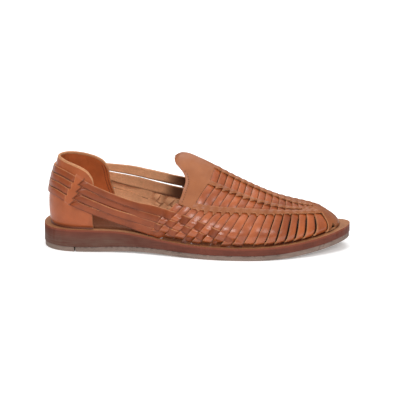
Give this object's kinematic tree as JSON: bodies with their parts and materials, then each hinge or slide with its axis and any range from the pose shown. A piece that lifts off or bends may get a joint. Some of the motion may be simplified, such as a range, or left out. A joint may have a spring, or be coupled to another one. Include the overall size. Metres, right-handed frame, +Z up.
{
  "type": "woven leather huarache sandal",
  "caption": "Slip-on woven leather huarache sandal: closed braided vamp with smooth throat tab, strapped open sides, heel counter and low wedge sole.",
  "frame": {"origin": "on the floor, under the middle of the shoe's box", "axes": "+X towards the toe, +Y towards the inner (medial) side, +Z up"},
  "size_m": [0.29, 0.0995, 0.0893],
  "materials": {
    "woven_leather": "waxed, slightly glossy",
    "panel_leather": "smooth, satin",
    "counter_leather": "smooth, satin",
    "sock_leather": "matt",
    "brown_midsole": "satin, stained edge",
    "pale_outsole": "matt"
  },
  "bodies": {
    "root": {"outsole": "pale_outsole", "heel_sheet": "pale_outsole", "midsole": "brown_midsole", "insole": "sock_leather", "upper": "woven_leather", "vamp_panel": "panel_leather", "heel_counter": "counter_leather"}
  },
  "joints": []
}
